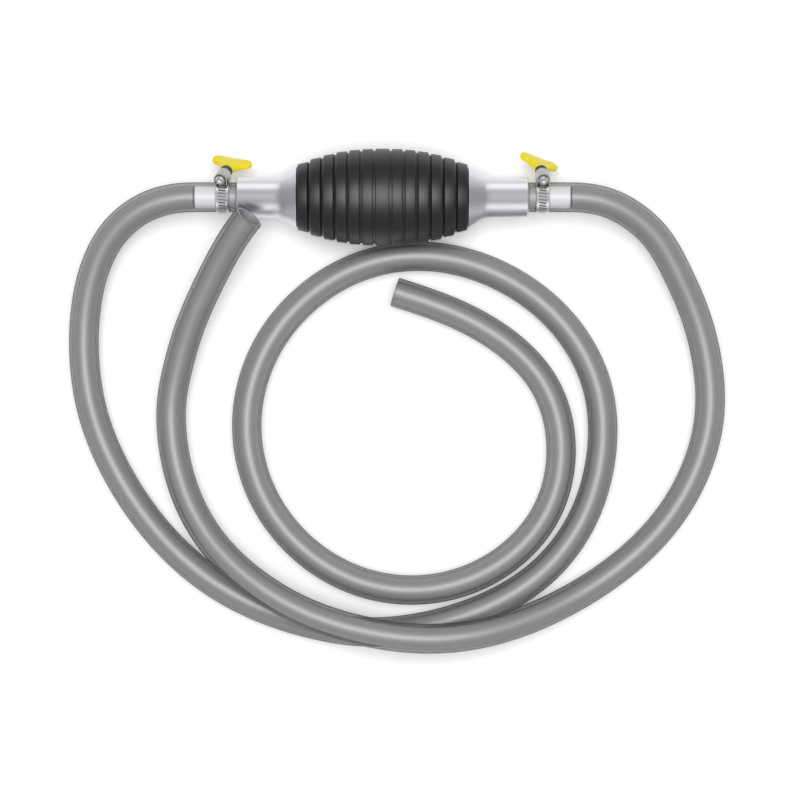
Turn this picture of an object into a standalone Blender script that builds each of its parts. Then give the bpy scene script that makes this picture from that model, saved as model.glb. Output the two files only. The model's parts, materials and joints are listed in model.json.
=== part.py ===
"""Hand siphon pump: a ribbed rubber squeeze bulb between two metal end fittings, each with a one-way
valve inside and a clear hose clamped on its spigot.

Metres, +Z up. The pump lies along X on the surface z = 0, with its origin under the middle of the bulb.
Water runs towards +X: the inlet end is at -X and the outlet end at +X.
"""

from math import cos, pi, radians, sin, sqrt, tau

import bmesh
import bpy
import numpy as np
from mathutils import Matrix, Vector

MM = 0.001

# Clearance kept wherever two pieces touch or fit in each other.
GAP = 0.3 * MM

# Rubber bulb
BULB_LENGTH = 68.0 * MM
BULB_RADIUS = 19.4 * MM
BULB_END_RADIUS = 12.8 * MM
BULB_BELLY = 2.3
BULB_WALL = 2.2 * MM
RIBS_EACH_SIDE = 6
CENTRE_RIB_WIDTH = 5.6 * MM
GROOVE_WIDTH = 1.0 * MM
GROOVE_DEPTH = 1.0 * MM
NECK_LENGTH = 5.0 * MM
NECK_WALL = 1.7 * MM
PRESS_LENGTH = 40.0 * MM
PRESS_WIDTH = 17.0 * MM

# Clear hoses
HOSE_RADIUS = 6.0 * MM
HOSE_WALL = 1.3 * MM
HOSE_STEP = 4.0 * HOSE_RADIUS
HOSE_LEAD = 2.0 * MM
HOSE_PINCH = 0.4 * MM

# Metal end fittings
CONE_STEP = 0.5 * MM
CONE_LENGTH = 8.0 * MM
FITTING_LENGTH = 16.0 * MM
FITTING_WALL = 1.4 * MM
FITTING_END_WALL = 2.1 * MM
FITTING_CHAMFER = 0.5 * MM

# Hose spigots and their seals
SPIGOT_WALL = 1.3 * MM
SPIGOT_REACH = 17.0 * MM
SPIGOT_FLANGE = 1.4 * MM
SPIGOT_CHAMFER = 0.6 * MM
O_RING_THICKNESS = 1.6 * MM
O_RING_CLEARANCE = 0.55 * MM

# One-way valves
VALVE_BORE_RADIUS = 4.4 * MM
VALVE_SEAT_LENGTH = 2.2 * MM
VALVE_SEAT_HOLE_RADIUS = 2.2 * MM
VALVE_SEAT_MOUTH_RADIUS = 2.7 * MM
VALVE_BALL_RADIUS = 3.3 * MM
VALVE_SPRING_LENGTH = 4.4 * MM
VALVE_SPRING_WIRE = 0.5 * MM
VALVE_SPRING_TURNS = 3.5
VALVE_STOP_LENGTH = 1.2 * MM
VALVE_STOP_HOLE_RADIUS = 1.0 * MM
VALVE_STOP_HOLE_CIRCLE = 2.25 * MM
VALVE_STOP_HOLES = 4

# Worm-drive clamps: a slotted band, a housing, a screw and its wing key
CLAMP_FROM_FITTING = 5.7 * MM
CLAMP_TURN = radians(31.0)
INLET_SCREW_LEAN = radians(-12.5)
OUTLET_SCREW_LEAN = radians(3.0)
BAND_WIDTH = 5.0 * MM
BAND_THICKNESS = 0.6 * MM
BAND_SLOTS = 32
BAND_SLOT_LENGTH = 3.0 * MM
SCREW_RADIUS = 1.95 * MM
SCREW_TIP_RADIUS = 1.5 * MM
SCREW_TIP_LENGTH = 0.6 * MM
SCREW_HEAD_RADIUS = 2.5 * MM
SCREW_HEAD_LENGTH = 3.0 * MM
SCREW_SHANK_RADIUS = 1.0 * MM
SCREW_SHANK_LENGTH = 5.0 * MM
SCREW_TO_BAND = 0.15 * MM
HOUSING_WALL = 0.5 * MM
HOUSING_LENGTH = 5.8 * MM
KEY_SPAN = 16.4 * MM
KEY_HEIGHT = 10.5 * MM
KEY_THICKNESS = 3.4 * MM
KEY_LOBE_RADIUS = 2.7 * MM
KEY_STEM_WIDTH = 5.6 * MM
KEY_STEM_FLARE = 0.5 * MM
KEY_WAIST = (0.62, 0.58)
KEY_LOBE_ARC = (radians(100.0), radians(-80.0))
INLET_KEY_TURN = radians(-4.6)
OUTLET_KEY_TURN = radians(-23.0)

# How finely round pieces are drawn
BULB_SIDES = 24
BULB_INSIDE_STEPS = 8
FITTING_SIDES = 24
SMALL_SIDES = 16
ARC_STEPS = 8
LOBE_STEPS = 6
SPRING_WIRE_SIDES = 5
SPRING_STEPS_PER_TURN = 12
HOSE_QUARTER_STEPS = 4
ROUTE_STEPS = 40
SHARP_ANGLE = radians(35.0)
MERGE_DISTANCE = 0.0001 * MM

# Places that follow from the sizes. "Reach" is a distance from the middle of the bulb along X.
AXIS_HEIGHT = BULB_RADIUS
SPIGOT_RADIUS = HOSE_RADIUS - HOSE_WALL - GAP
FITTING_BORE_RADIUS = SPIGOT_RADIUS + GAP + O_RING_THICKNESS + O_RING_CLEARANCE
FITTING_RADIUS = FITTING_BORE_RADIUS + FITTING_WALL
CONE_RADIUS = BULB_END_RADIUS - CONE_STEP
FITTING_START = BULB_LENGTH / 2 + GAP
FITTING_END = FITTING_START + CONE_LENGTH + FITTING_LENGTH
CONE_BORE_RADIUS = CONE_RADIUS - FITTING_WALL
CONE_SLOPE = (CONE_RADIUS - FITTING_RADIUS) / CONE_LENGTH
O_RING_START = FITTING_END - FITTING_END_WALL - GAP - O_RING_THICKNESS
SPIGOT_START = O_RING_START - GAP - SPIGOT_FLANGE
SPIGOT_END = FITTING_END + SPIGOT_REACH
NECK_END = FITTING_START + NECK_LENGTH
VALVE_BODY_START = FITTING_START + GAP
VALVE_BODY_END = SPIGOT_START - GAP
VALVE_STACK_LENGTH = (
    VALVE_SEAT_LENGTH
    + sqrt(VALVE_BALL_RADIUS**2 - VALVE_SEAT_MOUTH_RADIUS**2)
    + VALVE_BALL_RADIUS
    + 3 * GAP
    + VALVE_SPRING_LENGTH
    + VALVE_STOP_LENGTH
)
HOSE_BORE_RADIUS = HOSE_RADIUS - HOSE_WALL
CUFF_START = FITTING_END + GAP
CUFF_END = SPIGOT_END + GAP
HOSE_START = CUFF_END + GAP
CLAMP_REACH = FITTING_END + CLAMP_FROM_FITTING
BAND_INNER_RADIUS = HOSE_RADIUS - HOSE_PINCH + GAP
BAND_RADIUS = BAND_INNER_RADIUS + BAND_THICKNESS
SCREW_HEIGHT = BAND_RADIUS + GAP + SCREW_TO_BAND + SCREW_RADIUS

# The discharge hose's cut end leans on the inlet fitting, this far in from its end and this far round
# from its top.
LEAN_FROM_END = 5.4 * MM
LEAN_ANGLE = radians(37.2)

# The hoses' routes, in millimetres, from the spigot's end to the cut end, drawn for these two sizes.
# Each is one smooth curve. When a size changes, the first and last few points follow the pump.
ROUTE_HOSE_RADIUS = 6.0 * MM
ROUTE_BULB_RADIUS = 19.4 * MM
ROUTE_POINTS_MOVED = 7
SUCTION_ROUTE = (
    (-75.9, 0.0, 19.4),
    (-90.0, -1.9, 18.8),
    (-101.0, -7.2, 17.1),
    (-109.3, -15.0, 14.8),
    (-116.3, -27.5, 11.8),
    (-120.6, -44.5, 8.8),
    (-121.5, -64.0, 6.9),
    (-118.3, -86.0, 6.2),
    (-110.0, -107.5, 6.2),
    (-97.0, -128.5, 6.2),
    (-80.0, -147.0, 6.2),
    (-58.0, -162.0, 6.2),
    (-33.0, -171.5, 6.2),
    (-7.0, -175.8, 6.2),
    (20.0, -173.0, 6.2),
    (45.0, -164.5, 6.2),
    (66.0, -150.5, 6.2),
    (81.0, -130.5, 6.2),
    (88.8, -105.0, 6.2),
    (87.3, -76.0, 6.2),
    (74.0, -51.0, 6.2),
    (52.0, -33.0, 6.2),
    (26.0, -23.8, 6.2),
    (-2.0, -24.8, 6.2),
    (-28.0, -37.5, 6.2),
    (-47.0, -59.5, 6.2),
    (-55.3, -88.0, 6.2),
    (-50.8, -116.0, 6.2),
    (-34.0, -140.5, 6.2),
    (-8.0, -155.8, 6.2),
    (22.0, -158.0, 6.2),
    (49.0, -147.0, 6.2),
    (67.0, -126.5, 6.2),
    (72.6, -100.0, 6.2),
    (66.0, -75.5, 6.2),
    (50.0, -58.0, 6.2),
    (28.0, -45.5, 6.2),
    (4.8, -37.3, 6.2),
)
DISCHARGE_ROUTE = (
    (75.9, 0.0, 19.4),
    (90.0, -2.0, 18.8),
    (101.0, -7.4, 17.1),
    (110.8, -16.2, 14.7),
    (119.0, -29.5, 11.8),
    (126.8, -46.5, 8.8),
    (132.0, -66.0, 6.9),
    (133.0, -88.0, 6.2),
    (126.5, -112.0, 6.2),
    (113.5, -133.0, 6.2),
    (95.0, -150.5, 6.2),
    (72.0, -164.5, 9.2),
    (46.0, -174.0, 15.3),
    (20.0, -177.3, 18.9),
    (-6.0, -174.5, 19.4),
    (-31.0, -166.8, 18.4),
    (-53.0, -154.0, 15.6),
    (-70.0, -137.5, 11.6),
    (-80.5, -118.5, 8.6),
    (-85.5, -98.0, 7.4),
    (-85.8, -82.0, 8.0),
    (-83.0, -68.0, 10.2),
    (-78.3, -53.0, 13.8),
    (-72.0, -39.0, 18.2),
    (-65.0, -26.0, 23.0),
    (-59.0, -16.5, 27.2),
    (-52.9, -8.8, 31.0),
)


def clear_scene():
    for obj in list(bpy.data.objects):
        bpy.data.objects.remove(obj)


def new_material(name, colour, roughness, metallic=0.0):
    material = bpy.data.materials.new(name)
    material.use_nodes = True
    material.diffuse_color = (*colour, 1.0)
    shader = material.node_tree.nodes["Principled BSDF"]
    shader.inputs["Base Color"].default_value = (*colour, 1.0)
    shader.inputs["Roughness"].default_value = roughness
    shader.inputs["Metallic"].default_value = metallic
    return material


def new_empty(name, location, parent=None):
    empty = bpy.data.objects.new(name, None)
    empty.location = location
    empty.parent = parent
    bpy.context.scene.collection.objects.link(empty)
    return empty


def finish(name, bm, material, parent):
    """Turn a closed bmesh into a named object under its parent, smooth over shallow angles."""
    bmesh.ops.remove_doubles(bm, verts=bm.verts, dist=MERGE_DISTANCE)
    bmesh.ops.recalc_face_normals(bm, faces=bm.faces)
    mesh = bpy.data.meshes.new(name)
    bm.to_mesh(mesh)
    bm.free()
    mesh.shade_smooth()
    mesh.set_sharp_from_angle(angle=SHARP_ANGLE)
    mesh.materials.append(material)
    obj = bpy.data.objects.new(name, mesh)
    obj.parent = parent
    bpy.context.scene.collection.objects.link(obj)
    return obj


def spin_outline(bm, outline, sides, closed=True):
    """Spin an outline of (x, radius) points once round the X axis."""
    verts = [bm.verts.new((x, 0.0, radius)) for x, radius in outline]
    ends = verts[1:] + verts[:1] if closed else verts[1:]
    edges = [bm.edges.new(pair) for pair in zip(verts, ends)]
    bmesh.ops.spin(
        bm, geom=verts + edges, axis=(1, 0, 0), cent=(0, 0, 0), angle=tau, steps=sides, use_merge=True
    )


def turned(name, outline, sides, material, parent, closed=True):
    """A turned piece. An outline that isn't closed starts and ends on the axis."""
    bm = bmesh.new()
    spin_outline(bm, outline, sides, closed)
    return finish(name, bm, material, parent)


def mirrored(outline, side):
    """The outline for this end of the pump: side is -1 at the inlet and 1 at the outlet."""
    return [(side * x, radius) for x, radius in outline]


def arc(centre, radius, start, end, steps):
    """Points on an arc in a plane, angles in radians."""
    angles = [start + (end - start) * i / steps for i in range(steps + 1)]
    return [(centre[0] + radius * cos(a), centre[1] + radius * sin(a)) for a in angles]


def extruded(name, outline, axes, depth, material, parent):
    """A plate: a flat outline drawn along axes[0] and axes[1], extruded by depth along their cross
    product, half of it each way."""
    across, up = Vector(axes[0]), Vector(axes[1])
    out = across.cross(up)
    bm = bmesh.new()
    verts = [bm.verts.new(across * a + up * b - out * depth / 2) for a, b in outline]
    face = bm.faces.new(verts)
    pushed = bmesh.ops.extrude_face_region(bm, geom=[face])["geom"]
    moved = [item for item in pushed if isinstance(item, bmesh.types.BMVert)]
    bmesh.ops.translate(bm, verts=moved, vec=out * depth)
    return finish(name, bm, material, parent)


def cut(obj, cutter, operation):
    """Boolean with a hidden cutter, which stays in the scene as a wire guide."""
    cutter.hide_render = True
    cutter.display_type = "WIRE"
    modifier = obj.modifiers.new("cut", "BOOLEAN")
    modifier.operation = operation
    modifier.solver = "EXACT"
    modifier.object = cutter


def bulb_envelope(x):
    """Radius over the ribs at distance x from the middle."""
    share = min(1.0, abs(x) / (BULB_LENGTH / 2))
    return BULB_RADIUS - (BULB_RADIUS - BULB_END_RADIUS) * share**BULB_BELLY


def rib_spans():
    """(start, end) of each rib along X, from one end of the bulb to the other."""
    side_ribs = 2 * RIBS_EACH_SIDE
    rib_width = (BULB_LENGTH - CENTRE_RIB_WIDTH - side_ribs * GROOVE_WIDTH) / side_ribs
    spans = []
    x = -BULB_LENGTH / 2
    for rib in range(side_ribs + 1):
        width = CENTRE_RIB_WIDTH if rib == RIBS_EACH_SIDE else rib_width
        spans.append((x, x + width))
        x += width + GROOVE_WIDTH
    return spans


def cone_bore(reach):
    """Inner radius of the fitting's cone at this reach."""
    return max(CONE_BORE_RADIUS - CONE_SLOPE * (reach - FITTING_START), FITTING_BORE_RADIUS)


def bulb_outline():
    """Ribbed outside, a tapered neck at each end and a smooth inside."""
    outside = []
    for start, end in rib_spans():
        crest = bulb_envelope((start + end) / 2)
        floor = crest - GROOVE_DEPTH
        if start > -BULB_LENGTH / 2:
            outside.append((start, floor))
        outside += [(start, crest), (end, crest)]
        if end < BULB_LENGTH / 2 - GROOVE_WIDTH / 2:
            outside.append((end, floor))
    slack = GAP * sqrt(1 + CONE_SLOPE**2)
    neck_base = cone_bore(FITTING_START) - slack
    neck_tip = cone_bore(NECK_END) - slack
    neck = [
        (BULB_LENGTH / 2, neck_base),
        (NECK_END, neck_tip),
        (NECK_END, neck_tip - NECK_WALL),
        (BULB_LENGTH / 2, neck_base - NECK_WALL),
    ]
    inside_half = BULB_LENGTH / 2 - BULB_WALL
    inside = []
    for i in range(BULB_INSIDE_STEPS + 1):
        x = inside_half * (1 - 2 * i / BULB_INSIDE_STEPS)
        inside.append((x, bulb_envelope(x) - GROOVE_DEPTH - BULB_WALL))
    return outside + neck + inside + mirrored(neck[::-1], -1)


def build_bulb(material, axis, press_slide):
    """The bulb, and the part of its top wall that a hand pushes in, cut free all round."""
    bulb = turned("squeeze_bulb", bulb_outline(), BULB_SIDES, material, axis)
    wall = turned("bulb_press_wall", bulb_outline(), BULB_SIDES, material, press_slide)
    wall.location = axis.location - press_slide.location
    for target, extra, operation in ((bulb, GAP, "DIFFERENCE"), (wall, 0.0, "INTERSECT")):
        half_length = PRESS_LENGTH / 2 + extra
        half_width = PRESS_WIDTH / 2 + extra
        angles = [tau * i / BULB_SIDES for i in range(BULB_SIDES)]
        outline = [(half_length * cos(a), half_width * sin(a)) for a in angles]
        cutter = extruded(
            f"{target.name}_cutter", outline, ((1, 0, 0), (0, 1, 0)), BULB_RADIUS, material, axis
        )
        cutter.location.z = BULB_RADIUS
        cut(target, cutter, operation)


def build_fitting(end, side, materials, axis):
    outline = [
        (FITTING_START, CONE_RADIUS),
        (FITTING_START + CONE_LENGTH, FITTING_RADIUS),
        (FITTING_END - FITTING_CHAMFER, FITTING_RADIUS),
        (FITTING_END, FITTING_RADIUS - FITTING_CHAMFER),
        (FITTING_END, SPIGOT_RADIUS + GAP),
        (FITTING_END - FITTING_END_WALL, SPIGOT_RADIUS + GAP),
        (FITTING_END - FITTING_END_WALL, FITTING_BORE_RADIUS),
        (FITTING_START + CONE_LENGTH, FITTING_BORE_RADIUS),
        (FITTING_START, CONE_BORE_RADIUS),
    ]
    turned(f"{end}_fitting", mirrored(outline, side), FITTING_SIDES, materials["aluminium"], axis)


def build_spigot(end, side, materials, axis):
    """The hose tube, held from inside by its flange, and the o-ring that seals it."""
    bore = SPIGOT_RADIUS - SPIGOT_WALL
    flange_radius = FITTING_BORE_RADIUS - GAP
    outline = [
        (SPIGOT_START, flange_radius),
        (SPIGOT_START + SPIGOT_FLANGE, flange_radius),
        (SPIGOT_START + SPIGOT_FLANGE, SPIGOT_RADIUS),
        (SPIGOT_END - SPIGOT_CHAMFER, SPIGOT_RADIUS),
        (SPIGOT_END, SPIGOT_RADIUS - SPIGOT_CHAMFER),
        (SPIGOT_END, bore),
        (SPIGOT_START, bore),
    ]
    turned(f"{end}_spigot", mirrored(outline, side), SMALL_SIDES, materials["white_plastic"], axis)
    wire = O_RING_THICKNESS / 2
    centre = (O_RING_START + wire, SPIGOT_RADIUS + GAP + wire)
    ring = arc(centre, wire, 0.0, tau, ARC_STEPS)[:-1]
    turned(f"{end}_o_ring", mirrored(ring, side), SMALL_SIDES, materials["rubber"], axis)


def build_valve_body(end, side, materials, axis):
    """The plastic body that carries the valve. Its tapered front wedges the bulb's neck in the cone."""
    slack = GAP * sqrt(1 + CONE_SLOPE**2)
    skirt = cone_bore(VALVE_BODY_START) - 2 * slack - NECK_WALL
    shoulder = NECK_END + GAP
    outline = [
        (VALVE_BODY_START, skirt),
        (shoulder, skirt - CONE_SLOPE * (shoulder - VALVE_BODY_START)),
        (shoulder, FITTING_BORE_RADIUS - GAP),
        (VALVE_BODY_END, FITTING_BORE_RADIUS - GAP),
        (VALVE_BODY_END, VALVE_BORE_RADIUS),
        (VALVE_BODY_START, VALVE_BORE_RADIUS),
    ]
    turned(f"{end}_valve_body", mirrored(outline, side), SMALL_SIDES, materials["grey_plastic"], axis)


def spring_mesh(bm, start, length, radius, wire, turns):
    """A coil spring along X: a wire swept along a helix, closed at both ends."""
    steps = round(turns * SPRING_STEPS_PER_TURN)
    rings = []
    for i in range(steps + 1):
        angle = tau * i / SPRING_STEPS_PER_TURN
        x = start + wire / 2 + (length - wire) * i / steps
        outward = Vector((0.0, cos(angle), sin(angle)))
        along = Vector((1.0, 0.0, 0.0))
        centre = outward * radius + along * x
        rings.append([
            bm.verts.new(centre + wire / 2 * (outward * cos(a) + along * sin(a)))
            for a in (tau * k / SPRING_WIRE_SIDES for k in range(SPRING_WIRE_SIDES))
        ])
    for ring, following in zip(rings, rings[1:]):
        for k in range(SPRING_WIRE_SIDES):
            following_k = (k + 1) % SPRING_WIRE_SIDES
            bm.faces.new((ring[k], ring[following_k], following[following_k], following[k]))
    bm.faces.new(rings[0])
    bm.faces.new(rings[-1])


def build_valve(end, side, materials, axis):
    """The valve's seat, ball, spring and stop, stacked towards +X in its body: water only runs that way."""
    body_middle = side * (VALVE_BODY_START + VALVE_BODY_END) / 2
    seat_start = body_middle - VALVE_STACK_LENGTH / 2
    seat_end = seat_start + VALVE_SEAT_LENGTH
    outer = VALVE_BORE_RADIUS - GAP
    seat = [
        (seat_start, outer),
        (seat_end, outer),
        (seat_end, VALVE_SEAT_MOUTH_RADIUS),
        (seat_end - VALVE_SEAT_LENGTH / 3, VALVE_SEAT_HOLE_RADIUS),
        (seat_start, VALVE_SEAT_HOLE_RADIUS),
    ]
    turned(f"{end}_valve_seat", seat, SMALL_SIDES, materials["rubber"], axis)

    ball_x = seat_end + sqrt(VALVE_BALL_RADIUS**2 - VALVE_SEAT_MOUTH_RADIUS**2) + GAP
    ball_centre = new_empty(f"{end}_ball_slide", (ball_x, 0.0, 0.0), axis)
    half_circle = arc((0.0, 0.0), VALVE_BALL_RADIUS, 0.0, pi, ARC_STEPS)
    half_circle[0] = (VALVE_BALL_RADIUS, 0.0)
    half_circle[-1] = (-VALVE_BALL_RADIUS, 0.0)
    turned(f"{end}_valve_ball", half_circle, SMALL_SIDES, materials["steel"], ball_centre, closed=False)

    spring_start = ball_x + VALVE_BALL_RADIUS + GAP
    bm = bmesh.new()
    spring_radius = VALVE_BORE_RADIUS - VALVE_SPRING_WIRE - 4 * GAP
    spring_mesh(
        bm, spring_start, VALVE_SPRING_LENGTH, spring_radius, VALVE_SPRING_WIRE, VALVE_SPRING_TURNS
    )
    finish(f"{end}_valve_spring", bm, materials["steel"], axis)

    stop_start = spring_start + VALVE_SPRING_LENGTH + GAP
    stop_end = stop_start + VALVE_STOP_LENGTH
    disc = [(stop_start, 0.0), (stop_start, outer), (stop_end, outer), (stop_end, 0.0)]
    stop = turned(f"{end}_valve_stop", disc, SMALL_SIDES, materials["grey_plastic"], axis, closed=False)
    holes = bmesh.new()
    for hole in range(VALVE_STOP_HOLES):
        angle = tau * (hole + 0.5) / VALVE_STOP_HOLES
        place = Matrix.Translation((
            (stop_start + stop_end) / 2,
            VALVE_STOP_HOLE_CIRCLE * cos(angle),
            VALVE_STOP_HOLE_CIRCLE * sin(angle),
        ))
        bmesh.ops.create_cone(
            holes,
            cap_ends=True,
            segments=ARC_STEPS,
            radius1=VALVE_STOP_HOLE_RADIUS,
            radius2=VALVE_STOP_HOLE_RADIUS,
            depth=3 * VALVE_STOP_LENGTH,
            matrix=place @ Matrix.Rotation(pi / 2, 4, "Y"),
        )
    cut(stop, finish(f"{end}_valve_stop_cutter", holes, materials["grey_plastic"], axis), "DIFFERENCE")


def build_cuff(end, side, material, axis):
    """The end of the hose that is pushed over the spigot, pinched a little under the clamp's band."""
    pinch_half = BAND_WIDTH / 2 + GAP
    pinched = HOSE_RADIUS - HOSE_PINCH
    outline = [
        (CUFF_START, HOSE_RADIUS),
        (CLAMP_REACH - pinch_half - HOSE_PINCH, HOSE_RADIUS),
        (CLAMP_REACH - pinch_half, pinched),
        (CLAMP_REACH + pinch_half, pinched),
        (CLAMP_REACH + pinch_half + HOSE_PINCH, HOSE_RADIUS),
        (CUFF_END, HOSE_RADIUS),
        (CUFF_END, HOSE_BORE_RADIUS),
        (CUFF_START, HOSE_BORE_RADIUS),
    ]
    turned(f"{end}_hose_cuff", mirrored(outline, side), SMALL_SIDES, material, axis)


def band_mesh(bm):
    """The slotted band as a ring round X: each slot is left open and walled, the rest is solid."""
    across = (-BAND_WIDTH / 2, -BAND_SLOT_LENGTH / 2, BAND_SLOT_LENGTH / 2, BAND_WIDTH / 2)
    angles = [tau * i / (2 * BAND_SLOTS) for i in range(2 * BAND_SLOTS)]
    inner, outer = (
        [[bm.verts.new((x, radius * cos(a), radius * sin(a))) for x in across] for a in angles]
        for radius in (BAND_INNER_RADIUS, BAND_RADIUS)
    )
    count = len(angles)
    for i in range(count):
        j = (i + 1) % count
        slotted = i % 2 == 1
        for k in range(3):
            if not (slotted and k == 1):
                bm.faces.new((outer[i][k], outer[i][k + 1], outer[j][k + 1], outer[j][k]))
                bm.faces.new((inner[i][k], inner[j][k], inner[j][k + 1], inner[i][k + 1]))
        for k in (0, 3) + ((1, 2) if slotted else ()):
            bm.faces.new((inner[i][k], outer[i][k], outer[j][k], inner[j][k]))
        bm.faces.new((inner[i][1], inner[i][2], outer[i][2], outer[i][1]))


def build_clamp(end, side, materials, axis, screw_lean, key_turn):
    """Band, housing, screw and wing key. The clamp empty turns the housing towards the front, and the
    screw empty, on the screw's axis, leans the screw across the band. Both point the screw along Z."""
    clamp = new_empty(f"{end}_clamp_centre", (side * CLAMP_REACH, 0.0, 0.0), axis)
    clamp.rotation_euler.x = CLAMP_TURN
    bm = bmesh.new()
    band_mesh(bm)
    finish(f"{end}_clamp_band", bm, materials["steel"], clamp)

    screw = new_empty(f"{end}_screw_axis", (0.0, SCREW_HEIGHT, 0.0), clamp)
    screw.rotation_euler.y = screw_lean

    bore = SCREW_RADIUS + GAP
    skirt = -(SCREW_RADIUS + SCREW_TO_BAND)
    outer_arch = arc((0.0, 0.0), bore + HOUSING_WALL, 0.0, pi, ARC_STEPS)
    inner_arch = arc((0.0, 0.0), bore, pi, 0.0, ARC_STEPS)
    outline = (
        [(bore + HOUSING_WALL, skirt)]
        + outer_arch
        + [(-bore - HOUSING_WALL, skirt), (-bore, skirt)]
        + inner_arch
        + [(bore, skirt)]
    )
    extruded(
        f"{end}_clamp_housing", outline, ((1, 0, 0), (0, 1, 0)), HOUSING_LENGTH, materials["steel"], screw
    )

    # The screw's outline runs along X, from its tip at the front to its shank inside the key.
    tip = HOUSING_LENGTH / 2 + GAP
    head_start = -(HOUSING_LENGTH / 2 + GAP)
    head_end = head_start - SCREW_HEAD_LENGTH
    shank_end = head_end - SCREW_SHANK_LENGTH
    outline = [
        (tip + SCREW_TIP_LENGTH, 0.0),
        (tip + SCREW_TIP_LENGTH, SCREW_TIP_RADIUS),
        (tip, SCREW_RADIUS),
        (head_start, SCREW_RADIUS),
        (head_start, SCREW_HEAD_RADIUS),
        (head_end, SCREW_HEAD_RADIUS),
        (head_end, SCREW_SHANK_RADIUS),
        (shank_end, SCREW_SHANK_RADIUS),
        (shank_end, 0.0),
    ]
    screw_body = turned(
        f"{end}_clamp_screw", outline, SMALL_SIDES, materials["dark_steel"], screw, closed=False
    )
    screw_body.rotation_euler.y = -pi / 2

    key = extruded(
        f"{end}_clamp_key", key_outline(), ((1, 0, 0), (0, 0, 1)), KEY_THICKNESS, materials["yellow"], screw
    )
    key.location.z = head_end - GAP
    key.rotation_euler.z = key_turn
    socket = turned(
        f"{end}_clamp_key_cutter",
        [
            (GAP, 0.0),
            (GAP, SCREW_SHANK_RADIUS + GAP),
            (-SCREW_SHANK_LENGTH - GAP, SCREW_SHANK_RADIUS + GAP),
            (-SCREW_SHANK_LENGTH - GAP, 0.0),
        ],
        SMALL_SIDES,
        materials["yellow"],
        key,
        closed=False,
    )
    socket.rotation_euler.y = -pi / 2
    cut(key, socket, "DIFFERENCE")


def key_outline():
    """Wing key seen flat: a narrow stem at the top that flares to two round lobes below it."""
    lobe_x = KEY_SPAN / 2 - KEY_LOBE_RADIUS
    lobe_z = -KEY_HEIGHT + KEY_LOBE_RADIUS
    right = [
        (KEY_STEM_WIDTH / 2, 0.0),
        (KEY_STEM_WIDTH / 2 + KEY_STEM_FLARE, lobe_z / 3),
        (lobe_x * KEY_WAIST[0], lobe_z * KEY_WAIST[1]),
    ]
    right += arc((lobe_x, lobe_z), KEY_LOBE_RADIUS, *KEY_LOBE_ARC, LOBE_STEPS)
    dip = [(0.0, -KEY_HEIGHT + KEY_LOBE_RADIUS / 4)]
    left = [(-x, z) for x, z in reversed(right)]
    return right + dip + left


def placed_route(route, start, end=None):
    """The drawn route in metres. It spreads from the bulb's side as the hose gets thicker, and its first
    point, and its last if a place is given, moves to its place and takes the next few along."""
    points = np.array(route) * MM
    points[:, 1] += ROUTE_BULB_RADIUS
    points *= HOSE_RADIUS / ROUTE_HOSE_RADIUS
    points[:, 1] -= BULB_RADIUS
    share = np.maximum(0.0, 1.0 - np.arange(len(points)) / ROUTE_POINTS_MOVED)[:, None]
    points += share * (np.array(start) - points[0])
    if end is not None:
        points += share[::-1] * (np.array(end) - points[-1])
    return points


def smooth_route(points, side, step):
    """Cubic spline through the points, by chord length. It leaves its first point along X, towards this
    side, and is read at even steps after a short lead."""
    at = np.concatenate(([0.0], np.cumsum(np.linalg.norm(np.diff(points, axis=0), axis=1))))
    gaps = np.diff(at)[:, None]
    slopes = np.diff(points, axis=0) / gaps
    count = len(points)
    matrix = np.eye(count)
    right = np.zeros_like(points)
    for i in range(1, count - 1):
        matrix[i, i - 1 : i + 2] = gaps[i - 1, 0], 2 * (gaps[i - 1, 0] + gaps[i, 0]), gaps[i, 0]
        right[i] = 6 * (slopes[i] - slopes[i - 1])
    matrix[0, :2] = 2 * gaps[0, 0], gaps[0, 0]
    right[0] = 6 * (slopes[0] - np.array((side, 0.0, 0.0)))
    bend = np.linalg.solve(matrix, right)
    fine = []
    for i in range(count - 1):
        gap = gaps[i, 0]
        t = np.linspace(0.0, gap, ROUTE_STEPS, endpoint=False)[:, None]
        fine.append(
            points[i]
            + t * (slopes[i] - gap * (2 * bend[i] + bend[i + 1]) / 6)
            + t**2 * bend[i] / 2
            + t**3 * (bend[i + 1] - bend[i]) / (6 * gap)
        )
    fine = np.vstack(fine + [points[-1:]])
    run = np.concatenate(([0.0], np.cumsum(np.linalg.norm(np.diff(fine, axis=0), axis=1))))
    even = np.linspace(HOSE_LEAD, run[-1], round(run[-1] / step) + 1)
    places = np.concatenate(([0.0], even))
    return np.stack([np.interp(places, run, fine[:, k]) for k in range(3)], axis=1)


def build_hose(name, points, side, material):
    """A free hose as a round bar along its route, with flat ends."""
    points = smooth_route(points, side, HOSE_STEP)
    curve = bpy.data.curves.new(name, "CURVE")
    curve.dimensions = "3D"
    curve.bevel_depth = HOSE_RADIUS
    curve.bevel_resolution = HOSE_QUARTER_STEPS
    curve.use_fill_caps = True
    spline = curve.splines.new("POLY")
    spline.points.add(len(points) - 1)
    for target, point in zip(spline.points, points):
        target.co = (*point, 1.0)
    curve.materials.append(material)
    hose = bpy.data.objects.new(name, curve)
    bpy.context.scene.collection.objects.link(hose)


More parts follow.
